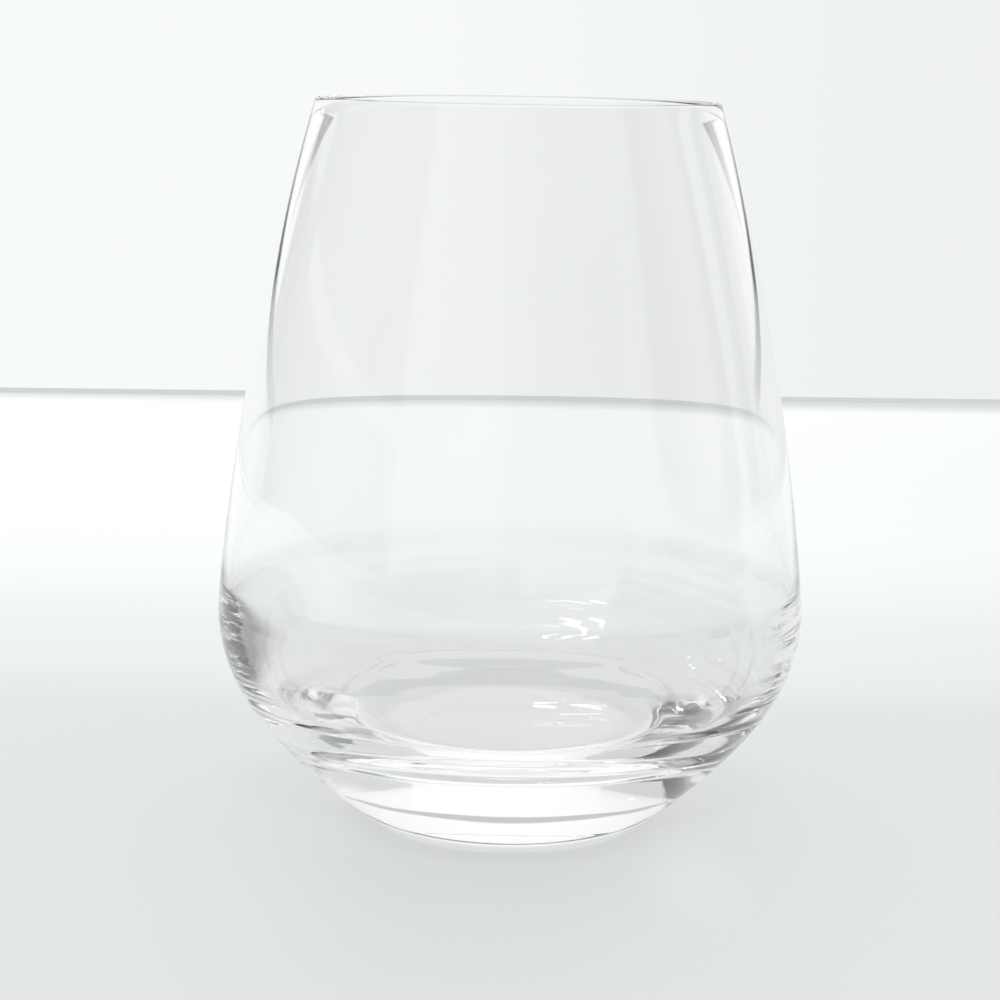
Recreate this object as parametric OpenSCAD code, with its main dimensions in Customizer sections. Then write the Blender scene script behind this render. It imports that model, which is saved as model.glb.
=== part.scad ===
// Stemless wine glass: one piece of clear glass, an outline turned about the Z axis
// Lengths are in millimetres. The origin is the middle of the foot on the table, and Z points up.

/* [Bowl] */
// Outer diameter at the lip
rim_d = 65; // [58:0.5:76]
// Height from the table to the top of the lip
glass_h = 118.5; // [106:0.5:140]
// Diameter at the widest ring
belly_d = 96; // [88:0.5:106]
// Height of the widest ring above the table
belly_z = 36.5; // [33:0.5:44]
// Lean of the wall just under the lip, in degrees from upright
rim_lean = 17; // [10:0.5:20]

/* [Foot] */
// Outer diameter of the flat ring that the glass stands on
foot_d = 34.5; // [30:0.5:42]
// Width of that flat ring
foot_ring_w = 1.5; // [1:0.5:6]
// Radius of the rounding between the foot and the lower wall
foot_round_r = 15; // [11:0.5:19]
// Slope of the lower wall where it meets the foot, in degrees from level
foot_slope = 40; // [32:1:46]
// Height of the shallow hollow under the foot
hollow_h = 0.3; // [0.2:0.1:2.5]

/* [Glass thickness] */
// Thickness of the wall at the lip
lip_t = 1.3; // [0.8:0.1:2]
// Thickness of the wall at the widest ring
belly_t = 1.7; // [1.3:0.1:3]
// Thickness of the solid glass in the middle of the base
base_t = 17; // [13:0.5:19]
// Diameter of the level floor inside
floor_d = 55; // [40:0.5:60]
// Height of the widest ring of the inside above that of the outside
inner_rise = 4; // [1:0.5:5.5]

/* [Hidden] */
$fn = 96;

// Straight pieces that stand for each curve, and for each small round
curve_steps = 28;
round_steps = 10;

// Reach of the upper wall's handles, as shares of the height between belly and lip
lip_handle_share = 0.51;
belly_up_handle_share = 0.024;
// Reach of the lower wall's handles, as shares of the height of the belly
belly_down_handle_share = 0.283;
foot_handle_share = 0.6;
// Reach of the inner corner's handles, as shares of its height and of its width
corner_up_handle_share = 0.93;
corner_out_handle_share = 0.3;

rim_r = rim_d / 2;
belly_r = belly_d / 2;
foot_r = foot_d / 2;
hollow_r = foot_r - foot_ring_w;
lip_r = lip_t / 2;
wall_h = glass_h - belly_z;
inner_belly_r = belly_r - belly_t;
inner_belly_z = belly_z + inner_rise;
floor_r = floor_d / 2;
floor_z = hollow_h + base_t;
corner_w = inner_belly_r - floor_r;
corner_h = inner_belly_z - floor_z;
lip_axis = [rim_r - lip_r, glass_h - lip_r];

// Point at share s along the curve from a to d with handles at b and c
function bezier(a, b, c, d, s) =
    pow(1 - s, 3) * a + 3 * pow(1 - s, 2) * s * b + 3 * (1 - s) * s * s * c + pow(s, 3) * d;

// Points along that curve, both ends included
function curve(a, b, c, d) = [for (i = [0:curve_steps]) bezier(a, b, c, d, i / curve_steps)];

// Points on a round about a centre, from one angle to another
function round_points(centre, r, from, to) =
    [for (i = [0:round_steps]) centre + r * dir(from + (to - from) * i / round_steps)];

// Unit step at an angle from level
function dir(angle) = [cos(angle), sin(angle)];

// List without its last point, where the next stretch starts at the same place
function open_end(points) = [for (i = [0:len(points) - 2]) points[i]];

// Where the lip's round meets the outer and the inner wall
lip_outer = lip_axis + lip_r * dir(rim_lean);
lip_inner = lip_axis - lip_r * dir(rim_lean);
down_wall = dir(rim_lean - 90);

// Where the round of the foot meets the lower wall
foot_axis = [foot_r, foot_round_r];
foot_top = foot_axis + foot_round_r * dir(foot_slope - 90);

// From the lip down the outside to the widest ring
function outer_wall() = curve(
    lip_outer,
    lip_outer + lip_handle_share * wall_h * down_wall,
    [belly_r, belly_z + belly_up_handle_share * wall_h],
    [belly_r, belly_z]);

// From the widest ring in to the round of the foot
function outer_taper() = curve(
    [belly_r, belly_z],
    [belly_r, belly_z - belly_down_handle_share * belly_z],
    foot_top + foot_handle_share * belly_z * dir(foot_slope),
    foot_top);

// From the edge of the level floor up the corner to the widest ring of the inside
function inner_corner() = curve(
    [floor_r, floor_z],
    [floor_r + corner_out_handle_share * corner_w, floor_z],
    [inner_belly_r, inner_belly_z - corner_up_handle_share * corner_h],
    [inner_belly_r, inner_belly_z]);

// From there up the inside to the lip
function inner_wall() = curve(
    [inner_belly_r, inner_belly_z],
    [inner_belly_r, inner_belly_z + belly_up_handle_share * wall_h],
    lip_inner + lip_handle_share * wall_h * down_wall,
    lip_inner);

// Shallow dome under the foot, from the foot ring in to the axis
function hollow() = [for (i = [0:round_steps])
    let (s = 1 - i / round_steps) [hollow_r * s, hollow_h * (1 - s * s)]];

// Half of the section through the glass, from the lip round the outside and back up the inside
function section() = concat(
    open_end(outer_wall()),
    open_end(outer_taper()),
    open_end(round_points(foot_axis, foot_round_r, foot_slope - 90, -90)),
    [[foot_r, 0]],
    hollow(),
    [[0, floor_z]],
    open_end(inner_corner()),
    open_end(inner_wall()),
    open_end(round_points(lip_axis, lip_r, 180 + rim_lean, rim_lean)));

module glass() {
    color([0.9, 0.94, 0.93, 0.35])
        rotate_extrude() polygon(section());
}

glass();
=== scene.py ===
import math

import bpy
import numpy as np
from bpy.props import FloatProperty, IntProperty, PointerProperty, StringProperty
from mathutils import Matrix, Vector


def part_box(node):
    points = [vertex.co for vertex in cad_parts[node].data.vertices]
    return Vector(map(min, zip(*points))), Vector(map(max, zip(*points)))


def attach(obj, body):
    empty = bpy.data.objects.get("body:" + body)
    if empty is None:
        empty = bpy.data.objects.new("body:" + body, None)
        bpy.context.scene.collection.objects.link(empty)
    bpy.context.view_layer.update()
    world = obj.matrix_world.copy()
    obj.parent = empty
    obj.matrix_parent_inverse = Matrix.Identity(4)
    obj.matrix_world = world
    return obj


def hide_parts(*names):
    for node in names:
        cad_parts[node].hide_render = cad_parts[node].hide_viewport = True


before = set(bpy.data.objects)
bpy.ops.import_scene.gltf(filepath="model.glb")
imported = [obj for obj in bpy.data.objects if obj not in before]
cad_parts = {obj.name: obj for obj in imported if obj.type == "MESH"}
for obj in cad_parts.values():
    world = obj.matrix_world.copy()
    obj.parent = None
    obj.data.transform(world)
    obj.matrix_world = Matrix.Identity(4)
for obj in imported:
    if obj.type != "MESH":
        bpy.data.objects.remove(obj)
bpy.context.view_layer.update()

bl_info = {
    "name": "Stemless Wine Glass",
    "version": (1, 0, 0),
    "blender": (4, 5, 0),
    "location": "View3D > Sidebar > Glass",
    "description": "Turns a clear stemless wine glass and sets its table, its light and its camera",
    "category": "Object",
}

# One millimetre in Blender's metres
MM = 0.001

# Frame of the photograph, and how far right of its middle the glass's axis stands
FRAME_PIXELS = 1000
AXIS_PIXELS_RIGHT = 11.7
# Width of the camera's sensor in millimetres
SENSOR = 36

# Box of the solid glass: its width is the widest diameter, and its top is the lip
GLASS_LOW, GLASS_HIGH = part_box("glass")


class GlassShape(bpy.types.PropertyGroup):
    """Sizes of the glass, the same as those of the solid"""
    rim_d: FloatProperty(
        name="Lip diameter", description="Outer diameter at the lip",
        default=65 * MM, subtype="DISTANCE", unit="LENGTH")
    glass_h: FloatProperty(
        name="Height", description="From the table to the top of the lip",
        default=GLASS_HIGH[2] - GLASS_LOW[2], subtype="DISTANCE", unit="LENGTH")
    belly_d: FloatProperty(
        name="Belly diameter", description="Diameter at the widest ring",
        default=GLASS_HIGH[0] - GLASS_LOW[0], subtype="DISTANCE", unit="LENGTH")
    belly_z: FloatProperty(
        name="Belly height", description="Height of the widest ring above the table",
        default=36.5 * MM, subtype="DISTANCE", unit="LENGTH")
    rim_lean: FloatProperty(
        name="Wall lean", description="Lean of the wall just under the lip, from upright",
        default=math.radians(17), subtype="ANGLE", unit="ROTATION")
    foot_d: FloatProperty(
        name="Foot diameter", description="Outer diameter of the flat ring under the glass",
        default=34.5 * MM, subtype="DISTANCE", unit="LENGTH")
    foot_ring_w: FloatProperty(
        name="Foot ring width", description="Width of that flat ring",
        default=1.5 * MM, subtype="DISTANCE", unit="LENGTH")
    foot_round_r: FloatProperty(
        name="Foot rounding", description="Radius between the foot and the lower wall",
        default=15 * MM, subtype="DISTANCE", unit="LENGTH")
    foot_slope: FloatProperty(
        name="Foot slope", description="Slope of the lower wall at the foot, from level",
        default=math.radians(40), subtype="ANGLE", unit="ROTATION")
    hollow_h: FloatProperty(
        name="Hollow", description="Height of the hollow under the foot",
        default=0.3 * MM, subtype="DISTANCE", unit="LENGTH")
    lip_t: FloatProperty(
        name="Lip thickness", description="Thickness of the wall at the lip",
        default=1.3 * MM, subtype="DISTANCE", unit="LENGTH")
    belly_t: FloatProperty(
        name="Belly thickness", description="Thickness of the wall at the widest ring",
        default=1.7 * MM, subtype="DISTANCE", unit="LENGTH")
    base_t: FloatProperty(
        name="Base thickness", description="Thickness of the solid glass in the middle of the base",
        default=17 * MM, subtype="DISTANCE", unit="LENGTH")
    floor_d: FloatProperty(
        name="Floor diameter", description="Diameter of the level floor inside",
        default=55 * MM, subtype="DISTANCE", unit="LENGTH")
    inner_rise: FloatProperty(
        name="Inner rise", description="Height of the widest ring inside above that outside",
        default=4 * MM, subtype="DISTANCE", unit="LENGTH")
    turns: IntProperty(
        name="Turns", description="Points round each ring", default=256, min=32)


class GlassFinish(bpy.types.PropertyGroup):
    """Look of the glass"""
    colour: StringProperty(
        name="Colour", description="Tint of the glass as an sRGB hex value", default="FEFEFE")
    ior: FloatProperty(
        name="IOR", description="How strongly the glass bends light", default=1.52, min=1)
    drift: FloatProperty(
        name="Wall drift", description="Deepest dip where the inside of the base runs low on one side",
        default=0.03 * MM, subtype="DISTANCE", unit="LENGTH")
    ripple: FloatProperty(
        name="Ripple", description="Depth of the rings that the turning mould leaves in the base",
        default=0.012 * MM, subtype="DISTANCE", unit="LENGTH")


class StageLook(bpy.types.PropertyGroup):
    """Table, light and camera"""
    backdrop: StringProperty(
        name="Backdrop", description="Colour behind the table, left of the glass", default="F7FAF7")
    backdrop_right: StringProperty(
        name="Backdrop right", description="Colour behind the table, right of the glass", default="EEF1EE")
    window: StringProperty(
        name="Window", description="Colour of the bright wall above the backdrop", default="FFFFFF")
    room: StringProperty(
        name="Room", description="Colour of the unlit room on the camera's side", default="9A9C9B")
    table_end: FloatProperty(
        name="Table end", description="From the glass back to the far edge of the table",
        default=0.52, subtype="DISTANCE", unit="LENGTH")
    camera_back: FloatProperty(
        name="Camera distance", description="From the glass's axis to the camera",
        default=0.42, subtype="DISTANCE", unit="LENGTH")
    camera_up: FloatProperty(
        name="Camera height", description="Height of the camera above the table",
        default=0.127, subtype="DISTANCE", unit="LENGTH")
    camera_dip: FloatProperty(
        name="Camera dip", description="How far the camera looks down",
        default=math.radians(9.94), subtype="ANGLE", unit="ROTATION")
    camera_roll: FloatProperty(
        name="Camera roll", description="Turn of the picture, clockwise",
        default=math.radians(0.95), subtype="ANGLE", unit="ROTATION")
    lens: FloatProperty(
        name="Lens", description="Focal length in millimetres on a sensor 36 mm wide",
        default=93.41, min=1)


def linear(code, strength=1):
    """Linear colour of an sRGB hex value: each channel goes through the sRGB curve backwards."""
    srgb = np.array([int(code[i:i + 2], 16) for i in (0, 2, 4)]) / 255
    flat = np.where(srgb <= 0.04045, srgb / 12.92, ((srgb + 0.055) / 1.055) ** 2.4)
    return (*(flat * strength), 1)


def add_node(tree, kind, links=(), **settings):
    """Adds a node. A setting named after a property sets it, one with a number sets that input."""
    node = tree.nodes.new(kind)
    for name, value in settings.items():
        if name.startswith("in_"):
            node.inputs[int(name[3:])].default_value = value
        else:
            setattr(node, name, value)
    for source, target in links:
        tree.links.new(source, node.inputs[target])
    return node


def bezier(a, b, c, d, steps):
    """Cubic curve from a to d, pulled by the handles b and c, with its weights those of Bernstein."""
    s = np.linspace(0, 1, steps + 1)[:, None]
    a, b, c, d = (np.asarray(p, float) for p in (a, b, c, d))
    return (1 - s) ** 3 * a + 3 * (1 - s) ** 2 * s * b + 3 * (1 - s) * s ** 2 * c + s ** 3 * d


def arc(centre, radius, start, end, steps):
    """Round stretch: the centre plus the radius times the unit step at each angle."""
    angle = np.linspace(start, end, steps + 1)
    return np.asarray(centre) + radius * np.stack([np.cos(angle), np.sin(angle)], 1)


def step(angle):
    """Unit step at an angle from level."""
    return np.array([math.cos(angle), math.sin(angle)])


# Reach of each curve's handles, as shares of the height or the width that it spans
LIP_SHARE = 0.51
BELLY_UP_SHARE = 0.024
BELLY_DOWN_SHARE = 0.283
FOOT_SHARE = 0.6
CORNER_UP_SHARE = 0.93
CORNER_OUT_SHARE = 0.3
# Straight steps that stand for each stretch: the hollow and the floor, the round of the foot, the
# curves of the base, the walls and the lip
LEVEL_STEPS = 14
ROUND_STEPS = 24
BASE_STEPS = 64
WALL_STEPS = 52
LIP_STEPS = 14


def glass_profile(size):
    """Half section as (radius, height) and a zone for each point.

    It runs from the axis under the foot, out over the hollow and the ring, up the outside,
    over the lip, down the inside and across the floor back to the axis.
    """
    rim_r, belly_r, foot_r = size.rim_d / 2, size.belly_d / 2, size.foot_d / 2
    hollow_r, lip_r, floor_r = foot_r - size.foot_ring_w, size.lip_t / 2, size.floor_d / 2
    wall_h = size.glass_h - size.belly_z
    inner_r, inner_z = belly_r - size.belly_t, size.belly_z + size.inner_rise
    floor_z = size.hollow_h + size.base_t
    lip_axis = np.array([rim_r - lip_r, size.glass_h - lip_r])
    lip_outer = lip_axis + lip_r * step(size.rim_lean)
    lip_inner = lip_axis - lip_r * step(size.rim_lean)
    down_wall = step(size.rim_lean - math.pi / 2)
    foot_axis = np.array([foot_r, size.foot_round_r])
    foot_top = foot_axis + size.foot_round_r * step(size.foot_slope - math.pi / 2)
    out = np.linspace(0, 1, LEVEL_STEPS + 1)
    pieces = {
        "hollow": np.stack([hollow_r * out, size.hollow_h * (1 - out ** 2)], 1),
        "ring": np.array([[hollow_r, 0], [foot_r, 0]]),
        "round": arc(foot_axis, size.foot_round_r,
                     -math.pi / 2, size.foot_slope - math.pi / 2, ROUND_STEPS),
        "taper": bezier(
            foot_top,
            foot_top + FOOT_SHARE * size.belly_z * step(size.foot_slope),
            [belly_r, size.belly_z - BELLY_DOWN_SHARE * size.belly_z],
            [belly_r, size.belly_z], BASE_STEPS),
        "outer": bezier(
            [belly_r, size.belly_z],
            [belly_r, size.belly_z + BELLY_UP_SHARE * wall_h],
            lip_outer + LIP_SHARE * wall_h * down_wall,
            lip_outer, WALL_STEPS),
        "lip": arc(lip_axis, lip_r, size.rim_lean, size.rim_lean + math.pi, LIP_STEPS),
        "inner": bezier(
            lip_inner,
            lip_inner + LIP_SHARE * wall_h * down_wall,
            [inner_r, inner_z + BELLY_UP_SHARE * wall_h],
            [inner_r, inner_z], WALL_STEPS),
        "corner": bezier(
            [inner_r, inner_z],
            [inner_r, inner_z - CORNER_UP_SHARE * (inner_z - floor_z)],
            [floor_r + CORNER_OUT_SHARE * (inner_r - floor_r), floor_z],
            [floor_r, floor_z], BASE_STEPS),
        "floor": np.stack([floor_r * out[::-1], np.full(len(out), floor_z)], 1),
    }
    points, zones = [], []
    for zone, stretch in pieces.items():
        keep = stretch if zone == "floor" else stretch[:-1]
        points.append(keep)
        zones += [zone] * len(keep)
    return np.concatenate(points), np.array(zones)


def profile_normals(profile):
    """Outward normal at each point: the step between its neighbours, turned a quarter."""
    run = np.gradient(profile, axis=0)
    run[0], run[-1] = (1, 0), (-1, 0)
    turned = np.stack([run[:, 1], -run[:, 0]], 1)
    return turned / np.linalg.norm(turned, axis=1)[:, None]


# Slow waves of the inside: lobes round the axis, phase, turn of the phase from foot to lip, and share
DRIFT_WAVES = ((2, 0.6, 0, 1), (3, -1.1, 4, 0.7), (5, 2.0, -7, 0.4))
# Rings of the base: spacing along the section, share, lobes of their wandering, and phase
RING_WAVES = ((3.1 * MM, 0.9, 2, 0.3), (1.9 * MM, 0.6, 3, 1.9), (1.2 * MM, 0.4, 5, 4.0))
# How far a ring's phase wanders as it goes round, in radians
RING_WANDER = 1.3
# How much of the waves and rings each stretch of the base has, and over how many points of the
# section they fade past it
WAVE_SHARES = {"corner": 1.0, "taper": 0.8}
FADE_POINTS = 12


def to_unit(waves, shares):
    """Sum of waves that each reach from minus its share to its share, brought to between 0 and 1."""
    return sum(waves) / (2 * sum(shares)) + 0.5


def dips(profile, zones, angle, look):
    """Depth that the surface lies under the true one, for each point of the section and each angle.

    The inside of the base drifts by slow waves round the axis, and the mould leaves rings on both
    sides of it: sines of the run along the section, whose phase wanders slowly round the axis. Both
    are never less than zero, so that the glass stays inside its solid.
    """
    run = np.concatenate([[0], np.cumsum(np.linalg.norm(np.diff(profile, axis=0), axis=1))])
    run, around = run[:, None], angle[None, :]
    height = profile[:, 1:2] / profile[:, 1].max()
    zone = np.array([WAVE_SHARES.get(name, 0.0) for name in zones])
    window = np.hanning(2 * FADE_POINTS + 1)
    zone = np.convolve(np.pad(zone, FADE_POINTS, mode="edge"), window / window.sum(), "valid")[:, None]
    slow = to_unit([share * np.sin(lobes * around + phase + climb * height)
                    for lobes, phase, climb, share in DRIFT_WAVES], [wave[3] for wave in DRIFT_WAVES])
    rings = to_unit([share * np.sin(2 * math.pi * run / spacing
                                    + RING_WANDER * np.sin(lobes * around + phase) + phase)
                     for spacing, share, lobes, phase in RING_WAVES], [wave[1] for wave in RING_WAVES])
    inside = np.isin(zones, ("inner", "corner"))[:, None] * zone
    return look.drift * slow * inside + look.ripple * rings * zone


def turned_mesh(name, profile, depth, turns):
    """Closed mesh of a section turned about Z: point (r, z) goes to (r cos a, r sin a, z).

    Each point is first sunk along its normal by its depth. The first and last points lie on the
    axis, where the rings close in a fan of triangles.
    """
    angle = np.arange(turns) * 2 * math.pi / turns
    normal = profile_normals(profile)
    ring = profile[1:-1, None, :] - depth[1:-1, :, None] * normal[1:-1, None, :]
    radius, height = ring[..., 0], ring[..., 1]
    body = np.stack([radius * np.cos(angle), radius * np.sin(angle), height], -1).reshape(-1, 3)
    points = np.concatenate([body, [[0, 0, profile[0, 1]], [0, 0, profile[-1, 1]]]])
    rows = len(ring)
    here = np.arange(turns)
    after = (here + 1) % turns
    base = (np.arange(rows - 1) * turns)[:, None]
    quads = np.stack([base + here, base + after, base + turns + after, base + turns + here], -1)
    first, last, top = rows * turns, rows * turns + 1, (rows - 1) * turns
    fans = np.concatenate([
        np.stack([np.full(turns, first), after, here], 1),
        np.stack([np.full(turns, last), top + here, top + after], 1)])
    mesh = bpy.data.meshes.new(name)
    mesh.from_pydata(points.tolist(), [], quads.reshape(-1, 4).tolist() + fans.tolist())
    mesh.polygons.foreach_set("use_smooth", np.ones(len(mesh.polygons), bool))
    mesh.update()
    return mesh


def link_object(name, data):
    """Puts a mesh, lamp or camera into the scene."""
    piece = bpy.data.objects.new(name, data)
    bpy.context.scene.collection.objects.link(piece)
    return piece


def soda_lime_glass(look):
    """Soda-lime glass, blown and fire-polished: clear all through and smooth to the touch.

    It has no colour of its own in a thin wall, and its surface is a true mirror at a low angle.
    The faint waves that stir what is seen through the base are in the mesh.
    """
    material = bpy.data.materials.new("soda_lime_glass")
    material.use_nodes = True
    tree = material.node_tree
    glass = tree.nodes["Principled BSDF"]
    glass.inputs["Base Color"].default_value = linear(look.colour)
    glass.inputs["Roughness"].default_value = 0
    glass.inputs["IOR"].default_value = look.ior
    glass.inputs["Transmission Weight"].default_value = 1
    return material


def plain_emitter(name, colour):
    """Surface that shows one colour, whatever lights it."""
    material = bpy.data.materials.new(name)
    material.use_nodes = True
    tree = material.node_tree
    tree.nodes.clear()
    painted_glow = add_node(tree, "ShaderNodeEmission", in_0=linear(colour), in_1=1)
    add_node(tree, "ShaderNodeOutputMaterial", [(painted_glow.outputs[0], 0)])
    return material


def fill_ramp(ramp, stops):
    """Sets a colour ramp's stops from (place, colour) pairs."""
    while len(ramp.elements) < len(stops):
        ramp.elements.new(0.5)
    for element, (place, colour) in zip(ramp.elements, stops):
        element.position = place
        element.color = colour


# Reach of the table to the sides and to the front, how far its top lies under the foot, and the share
# of the reach by which its far edge comes nearer on the left and goes back on the right
TABLE_REACH = 3
TABLE_SINK = 0.05 * MM
TABLE_SKEW_SHARE = 0.035
# Height and colour of the glowing strip at the table's far edge, a painted line of shade on that edge
EDGE_HEIGHT = 1.8 * MM
EDGE_SHADE_COLOUR = "D3D7D4"
# Painted light fall-off: how bright the table's colour is at each distance behind the glass's axis, darker
# towards the camera, up to a painted line of shade at its far edge
PAINTED_FALLOFF_STOPS = (
    (0.07, "E2E5E2"), (0.10, "EAEDEA"), (0.15, "EEF1EE"), (0.175, "F3F6F3"), (0.21, "F7FAF7"),
    (0.26, "FAFDFA"), (0.496, "F9FCF9"), (0.518, "D8DBD8"))
# Share of the table's colour that it gives off as a painted glow, though no lamp lies under it, so that
# shadows on it stay faint
PAINTED_GLOW_SHARE = 0.8
# Matt surface of the sheet, with hardly any gloss
TABLE_ROUGHNESS = 0.6
TABLE_GLOSS = 0.15
# Painted shadows and painted pools of light on the table: middle and radii of each ellipse in metres, the
# share of its radii over which it fades, and how much darker it is, or paler where that is less than zero
PAINTED_SHADE_AND_LIGHT = {
    "shadow_behind_foot": (0.0, 0.020, 0.052, 0.034, 0.2, 0.03),
    "shadow_round_foot": (0.0, 0.0, 0.031, 0.031, 0.3, 0.06),
    "light_under_base": (0.0, 0.0, 0.0225, 0.0225, 0.08, -0.14),
    "shadow_before_foot": (-0.005, -0.05, 0.034, 0.06, 0.8, 0.03),
    "gathered_light": (0.029, -0.032, 0.012, 0.03, 0.9, -0.05),
    "far_right": (0.42, 0.25, 0.41, 0.42, 0.35, 0.05),
}
# Dark patch beside the glass on the left, seen only through the glass
SIDE_PATCH = (-0.3225, 0.05, 0.2775, 0.11, 0.08, 0.85)


def soft_patch(tree, x, y, patch):
    """Depth of an ellipse: full near its middle, fading to zero where its scaled distance is one."""
    across, along, wide, deep, soft, depth = patch
    near = [add_node(tree, "ShaderNodeMath", [(value, 0)], operation="SUBTRACT", in_1=middle)
            for value, middle in ((x, across), (y, along))]
    near = [add_node(tree, "ShaderNodeMath", [(node.outputs[0], 0)], operation="DIVIDE", in_1=radius)
            for node, radius in zip(near, (wide, deep))]
    spot = add_node(tree, "ShaderNodeCombineXYZ", [(near[0].outputs[0], 0), (near[1].outputs[0], 1)])
    away = add_node(tree, "ShaderNodeVectorMath", [(spot.outputs[0], 0)], operation="LENGTH")
    return add_node(tree, "ShaderNodeMapRange", [(away.outputs["Value"], 0)],
                    interpolation_type="SMOOTHSTEP", in_1=1 - soft, in_2=1, in_3=depth, in_4=0).outputs[0]


def opal_acrylic():
    """Opal acrylic sheet lit from above, with a painted glow standing in for light from below: matt, white,
    and with only faint shadows.

    Its colour is painted darker towards the camera, standing in for light that falls off. Painted shade
    lies behind the foot, round it, before it and far to its right, and painted paler patches in it stand in
    for the light that the base gathers.
    """
    material = bpy.data.materials.new("opal_acrylic")
    material.use_nodes = True
    tree = material.node_tree
    sheet = tree.nodes["Principled BSDF"]
    sheet.inputs["Roughness"].default_value = TABLE_ROUGHNESS
    sheet.inputs["Specular IOR Level"].default_value = TABLE_GLOSS
    sheet.inputs["Emission Strength"].default_value = 1
    place = add_node(tree, "ShaderNodeTexCoord")
    axis = add_node(tree, "ShaderNodeSeparateXYZ", [(place.outputs["Object"], 0)])
    x, y = axis.outputs[0], axis.outputs[1]
    low, high = PAINTED_FALLOFF_STOPS[0][0], PAINTED_FALLOFF_STOPS[-1][0]
    run = add_node(tree, "ShaderNodeMapRange", [(y, 0)], in_1=low, in_2=high)
    fade = add_node(tree, "ShaderNodeValToRGB", [(run.outputs[0], 0)])
    fill_ramp(fade.color_ramp, [((y - low) / (high - low), linear(code)) for y, code in PAINTED_FALLOFF_STOPS])
    shaded = fade.outputs[0]
    through = add_node(tree, "ShaderNodeLightPath").outputs["Is Transmission Ray"]
    # Painted shade and painted light: each patch darkens or pales the table's colour
    patches = [soft_patch(tree, x, y, patch) for patch in PAINTED_SHADE_AND_LIGHT.values()]
    patches.append(add_node(tree, "ShaderNodeMath", [(soft_patch(tree, x, y, SIDE_PATCH), 0), (through, 1)],
                            operation="MULTIPLY").outputs[0])
    for patch in patches:
        kept = add_node(tree, "ShaderNodeMath", [(patch, 1)], operation="SUBTRACT", in_0=1)
        shaded = add_node(tree, "ShaderNodeVectorMath", [(shaded, 0), (kept.outputs[0], 1)],
                          operation="MULTIPLY").outputs[0]
    # Painted glow: that share of the painted colour is given off as light, the rest is lit as a matt board
    painted_glow, board = (add_node(tree, "ShaderNodeVectorMath", [(shaded, 0)], operation="MULTIPLY",
                            in_1=(share, share, share)) for share in (PAINTED_GLOW_SHARE, 1 - PAINTED_GLOW_SHARE))
    tree.links.new(board.outputs[0], sheet.inputs["Base Color"])
    tree.links.new(painted_glow.outputs[0], sheet.inputs["Emission Color"])
    return material


def flat_board(name, corners, material):
    """One flat four-cornered board of the stage."""
    mesh = bpy.data.meshes.new(name)
    mesh.from_pydata(corners, [], [(0, 1, 2, 3)])
    mesh.materials.append(material)
    link_object(name, mesh)


def lay_table(far):
    """Table top from behind the camera to its far edge, and the low glowing strip along that edge, a
    painted line of shade.
    """
    left, right, front = -TABLE_REACH, TABLE_REACH, -TABLE_REACH
    skew = TABLE_SKEW_SHARE * TABLE_REACH
    far_left, far_right = (left, far - skew), (right, far + skew)
    top = -TABLE_SINK
    flat_board("table", [(left, front, top), (right, front, top), (*far_right, top), (*far_left, top)],
               opal_acrylic())
    flat_board("table_edge_shade", [(*far_left, top), (*far_right, top),
                              (*far_right, EDGE_HEIGHT), (*far_left, EDGE_HEIGHT)],
               plain_emitter("table_edge_shade", EDGE_SHADE_COLOUR))


# Lamp over the table: its height, how far behind the glass it hangs, the length of its sides, and how
# bright its face is beside plain white
LAMP_HEIGHT = 1.2
LAMP_BACK = 0.1
LAMP_SIDE = 1.2
LAMP_RADIANCE = 0.25


def hang_lamp():
    """Square soft lamp aimed at the foot. Its power is pi times its area times its brightness."""
    data = bpy.data.lights.new("overhead", "AREA")
    data.shape, data.size, data.size_y = "RECTANGLE", LAMP_SIDE, LAMP_SIDE
    data.energy = math.pi * LAMP_SIDE ** 2 * LAMP_RADIANCE
    lamp = link_object("overhead", data)
    lamp.location = (0, LAMP_BACK, LAMP_HEIGHT)
    lamp.rotation_euler = (-lamp.location).to_track_quat("-Z", "Y").to_euler()


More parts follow.
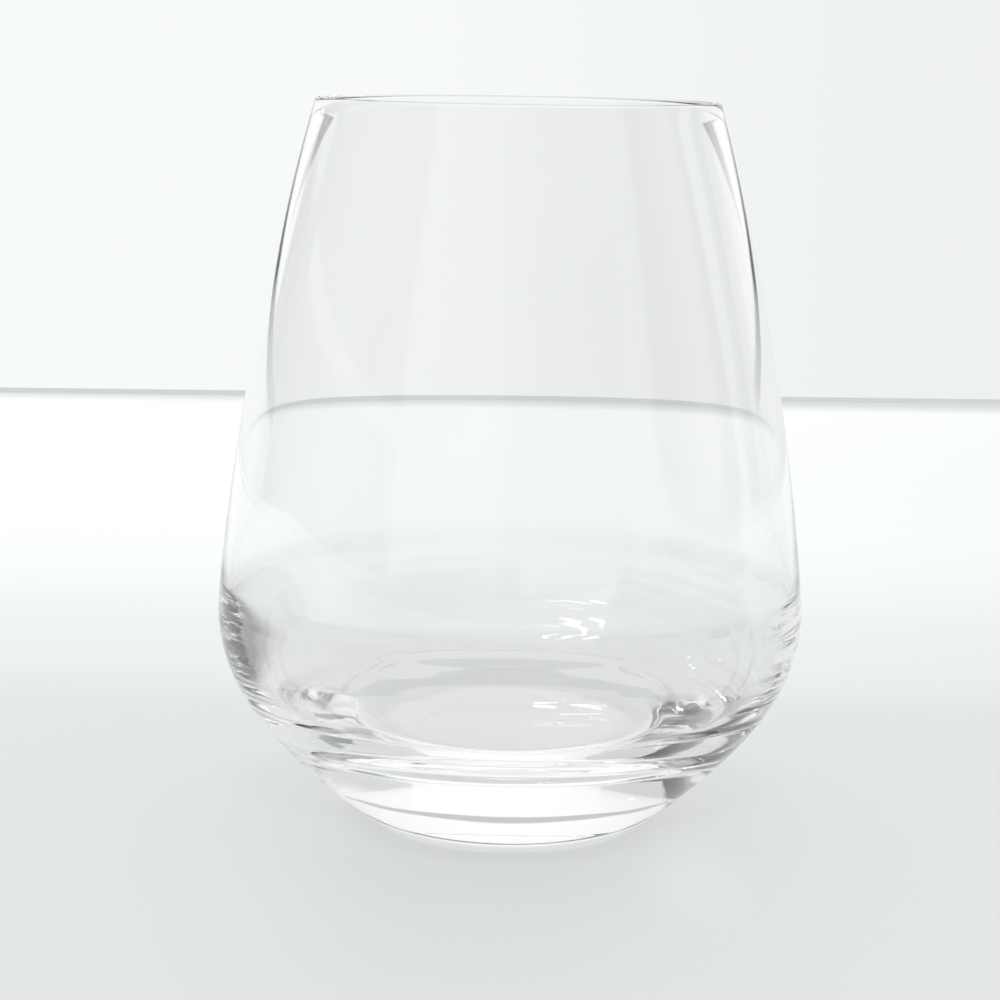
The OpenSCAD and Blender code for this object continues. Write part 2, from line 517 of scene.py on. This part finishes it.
# What stands round the studio, seen only by way of the glass: the middle of each panel as degrees
# right of straight behind and degrees up, its half width and half height, how soft its edge is, its
# colour, its strength, and whether it also shows as a plain mirror image on the glass
PANELS = (
    ("near_left", -148, 8, 22, 20, 10, "ECEFEC", 1, False),
    ("near_right", 150, 10, 16, 10, 6, "5A5C5A", 1, False),
    ("left_wall", -76, 12, 20, 60, 12, "D6D9D6", 1, True),
    ("left_flag", -94, 13, 34, 19, 5, "262826", 1, False),
    ("flag_gap", -98, 9.5, 34, 0.7, 0.7, "C8CAC8", 1, False),
    ("rear_flag_high", -54, 22, 9, 6, 3, "565856", 1, False),
    ("rear_flag_low", -50, 5, 9, 3, 3, "565856", 1, False),
    ("window_bar", 0, 12.4, 40, 0.9, 0.5, "C0C4C0", 1, True),
    ("upper_bar", 10, 58, 40, 3, 4, "C8CAC8", 1, True),
    ("skirting", 0, 0.8, 60, 0.5, 0.3, "6E7270", 1, True),
    ("right_wall", 68, 20, 12, 60, 8, "E2E5E2", 1, True),
    ("right_bar", 62, 15, 3, 26, 2, "8C908E", 1, False),
    ("lamp_right", -135, 33.5, 4, 0.7, 0.4, "FFFFFF", 22, False),
    ("lamp_middle", -146, 36.6, 8, 0.25, 0.25, "FFFFFF", 22, False),
    ("lamp_left", -157, 38.3, 4, 0.15, 0.15, "FFFFFF", 20, False),
    ("lamp_back", -152, 41.2, 6, 0.08, 0.1, "FFFFFF", 14, False),
    ("lamp_high", -142, 43.2, 5, 0.08, 0.1, "FFFFFF", 14, False),
    ("long_tube", 3, 14.85, 0.8, 0.03, 0.04, "FFFFFF", 5, False),
    ("short_tube", 1.6, 14.4, 0.4, 0.05, 0.04, "FFFFFF", 5, False),
    ("spot", -12, 28, 0.6, 0.2, 0.2, "FFFFFF", 8, False),
    ("far_spot", -27, 22, 0.6, 0.2, 0.2, "FFFFFF", 8, False),
)


def soft_step(tree, value, middle, half, soft):
    """One within half of the middle, fading to zero over the soft width outside."""
    away = add_node(tree, "ShaderNodeMath", [(value, 0)], operation="SUBTRACT", in_1=middle)
    size = add_node(tree, "ShaderNodeMath", [(away.outputs[0], 0)], operation="ABSOLUTE")
    return add_node(tree, "ShaderNodeMapRange", [(size.outputs[0], 0)], interpolation_type="SMOOTHSTEP",
                    in_1=half, in_2=half + soft, in_3=1, in_4=0).outputs[0]


# Where the backdrop's shade starts and is full: how far right a step of length one goes
SHADE_RUN = (-0.035, 0.156)
# Degrees up over which the backdrop gives way to the wall above it, and how bright that wall is
WALL_RUN = (1.2, 2.5)
WINDOW_GLOW = 1.04
# Where the unlit room gives way to the bright wall behind and to the bright ceiling: how far back and
# how far up a step of length one goes
BEHIND_RUN = (-0.5, 0.1)
CEILING_RUN = (0.55, 0.85)


def set_world(stage):
    """White studio: plain to the camera, plain light on the table, and with its panels to the glass.

    A direction's degrees right of straight behind are the arc tangent of x over y, and its
    degrees up are the arc sine of z.
    """
    world = bpy.context.scene.world or bpy.data.worlds.new("studio")
    bpy.context.scene.world = world
    world.use_nodes = True
    tree = world.node_tree
    tree.nodes.clear()
    direction = add_node(tree, "ShaderNodeTexCoord").outputs["Generated"]
    x, y, z = add_node(tree, "ShaderNodeSeparateXYZ", [(direction, 0)]).outputs
    aside = add_node(tree, "ShaderNodeMath", [(x, 0), (y, 1)], operation="ARCTAN2")
    rise = add_node(tree, "ShaderNodeMath", [(z, 0)], operation="ARCSINE")
    right, up = (add_node(tree, "ShaderNodeMath", [(n.outputs[0], 0)], operation="DEGREES").outputs[0]
                 for n in (aside, rise))
    # The backdrop is a little darker on the right, and the wall above it is brighter than any paper
    shade = add_node(tree, "ShaderNodeMapRange", [(x, 0)], in_1=SHADE_RUN[0], in_2=SHADE_RUN[1])
    paper = add_node(tree, "ShaderNodeMix", [(shade.outputs[0], 0)], data_type="RGBA",
                     in_6=linear(stage.backdrop), in_7=linear(stage.backdrop_right)).outputs[2]
    clear = add_node(tree, "ShaderNodeMapRange", [(up, 0)], interpolation_type="SMOOTHSTEP",
                     in_1=WALL_RUN[0], in_2=WALL_RUN[1])
    bright = add_node(tree, "ShaderNodeMix", [(clear.outputs[0], 0), (paper, 6)], data_type="RGBA",
                      in_7=linear(stage.window, WINDOW_GLOW)).outputs[2]
    behind = add_node(tree, "ShaderNodeMapRange", [(y, 0)], interpolation_type="SMOOTHSTEP",
                      in_1=BEHIND_RUN[0], in_2=BEHIND_RUN[1])
    above = add_node(tree, "ShaderNodeMapRange", [(z, 0)], interpolation_type="SMOOTHSTEP",
                     in_1=CEILING_RUN[0], in_2=CEILING_RUN[1])
    lit = add_node(tree, "ShaderNodeMath", [(behind.outputs[0], 0), (above.outputs[0], 1)],
                   operation="MAXIMUM")
    studio = add_node(tree, "ShaderNodeMix", [(lit.outputs[0], 0), (bright, 7)], data_type="RGBA",
                      in_6=linear(stage.room)).outputs[2]
    ray = add_node(tree, "ShaderNodeLightPath").outputs
    through = ray["Is Transmission Ray"]
    for name, middle, height, wide, tall, soft, colour, strength, mirrored in PANELS:
        across = soft_step(tree, right, middle, wide, soft)
        along = soft_step(tree, up, height, tall, soft)
        mask = add_node(tree, "ShaderNodeMath", [(across, 0), (along, 1)], operation="MULTIPLY")
        if not mirrored:
            mask = add_node(tree, "ShaderNodeMath", [(mask.outputs[0], 0), (through, 1)],
                            operation="MULTIPLY")
        panel = add_node(tree, "ShaderNodeMix", [(mask.outputs[0], 0), (studio, 6)], data_type="RGBA",
                         in_7=linear(colour, strength))
        panel.label = name
        studio = panel.outputs[2]
    plain = add_node(tree, "ShaderNodeMath", [(ray["Is Camera Ray"], 0), (ray["Is Diffuse Ray"], 1)],
                     operation="MAXIMUM")
    shown = add_node(tree, "ShaderNodeMix", [(plain.outputs[0], 0), (studio, 6), (paper, 7)],
                     data_type="RGBA")
    back = add_node(tree, "ShaderNodeBackground", [(shown.outputs[2], 0)], in_1=1)
    add_node(tree, "ShaderNodeOutputWorld", [(back.outputs[0], 0)])


def set_camera(stage):
    """Camera of the photograph: beside the axis, a little above the lip and dipped towards the base."""
    data = bpy.data.cameras.new("camera")
    data.sensor_width, data.lens = SENSOR, stage.lens
    camera = link_object("camera", data)
    dip, roll = stage.camera_dip, stage.camera_roll
    right = Vector((1, 0, 0))
    ahead = Vector((0, math.cos(dip), -math.sin(dip)))
    up = right.cross(ahead)
    side = right * math.cos(roll) + up * math.sin(roll)
    top = up * math.cos(roll) - right * math.sin(roll)
    turn = Matrix((side, top, -ahead)).transposed().to_4x4()
    aside = AXIS_PIXELS_RIGHT / FRAME_PIXELS * SENSOR / stage.lens * stage.camera_back
    camera.matrix_world = Matrix.Translation((-aside, -stage.camera_back, stage.camera_up)) @ turn
    bpy.context.scene.camera = camera


class GLASS_OT_turn_glass(bpy.types.Operator):
    """Turn the glass as one closed body of clear glass"""
    bl_idname = "glass.turn_glass"
    bl_label = "Turn the glass"

    def execute(self, context):
        size, look = context.scene.glass_shape, context.scene.glass_finish
        profile, zones = glass_profile(size)
        angle = np.arange(size.turns) * 2 * math.pi / size.turns
        mesh = turned_mesh("wine_glass", profile, dips(profile, zones, angle, look), size.turns)
        mesh.materials.append(soda_lime_glass(look))
        glass = link_object("wine_glass", mesh)
        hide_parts("glass")
        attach(glass, "root")
        return {"FINISHED"}


# Light is thrown to and fro in the thick base, so its paths need room to end by themselves
ALL_BOUNCES = 96
GLASS_BOUNCES = 80


class GLASS_OT_set_stage(bpy.types.Operator):
    """Set the table, the studio round it and the camera"""
    bl_idname = "glass.set_stage"
    bl_label = "Set the stage"

    def execute(self, context):
        stage = context.scene.glass_stage
        context.scene.view_settings.view_transform = "Standard"
        paths = context.scene.cycles
        paths.max_bounces = ALL_BOUNCES
        paths.transmission_bounces = paths.glossy_bounces = GLASS_BOUNCES
        lay_table(stage.table_end)
        set_world(stage)
        hang_lamp()
        set_camera(stage)
        return {"FINISHED"}


class GLASS_PT_panel(bpy.types.Panel):
    """Lists the pieces in the sidebar"""
    bl_idname = "GLASS_PT_panel"
    bl_label = "Stemless wine glass"
    bl_space_type = "VIEW_3D"
    bl_region_type = "UI"
    bl_category = "Glass"

    def draw(self, context):
        for operator in (GLASS_OT_turn_glass, GLASS_OT_set_stage):
            self.layout.operator(operator.bl_idname)
        for group in (context.scene.glass_shape, context.scene.glass_finish, context.scene.glass_stage):
            box = self.layout.box()
            for name in group.__annotations__:
                box.prop(group, name)


CLASSES = (GlassShape, GlassFinish, StageLook, GLASS_OT_turn_glass, GLASS_OT_set_stage, GLASS_PT_panel)


def register():
    """Adds the classes and hangs the three groups of values on the scene."""
    for cls in CLASSES:
        bpy.utils.register_class(cls)
    bpy.types.Scene.glass_shape = PointerProperty(type=GlassShape)
    bpy.types.Scene.glass_finish = PointerProperty(type=GlassFinish)
    bpy.types.Scene.glass_stage = PointerProperty(type=StageLook)


def unregister():
    """Takes them off again."""
    del bpy.types.Scene.glass_shape, bpy.types.Scene.glass_finish, bpy.types.Scene.glass_stage
    for cls in reversed(CLASSES):
        bpy.utils.unregister_class(cls)


def main():
    """Makes the glass and its stage."""
    register()
    bpy.ops.glass.turn_glass()
    bpy.ops.glass.set_stage()


if __name__ == "__main__":
    main()
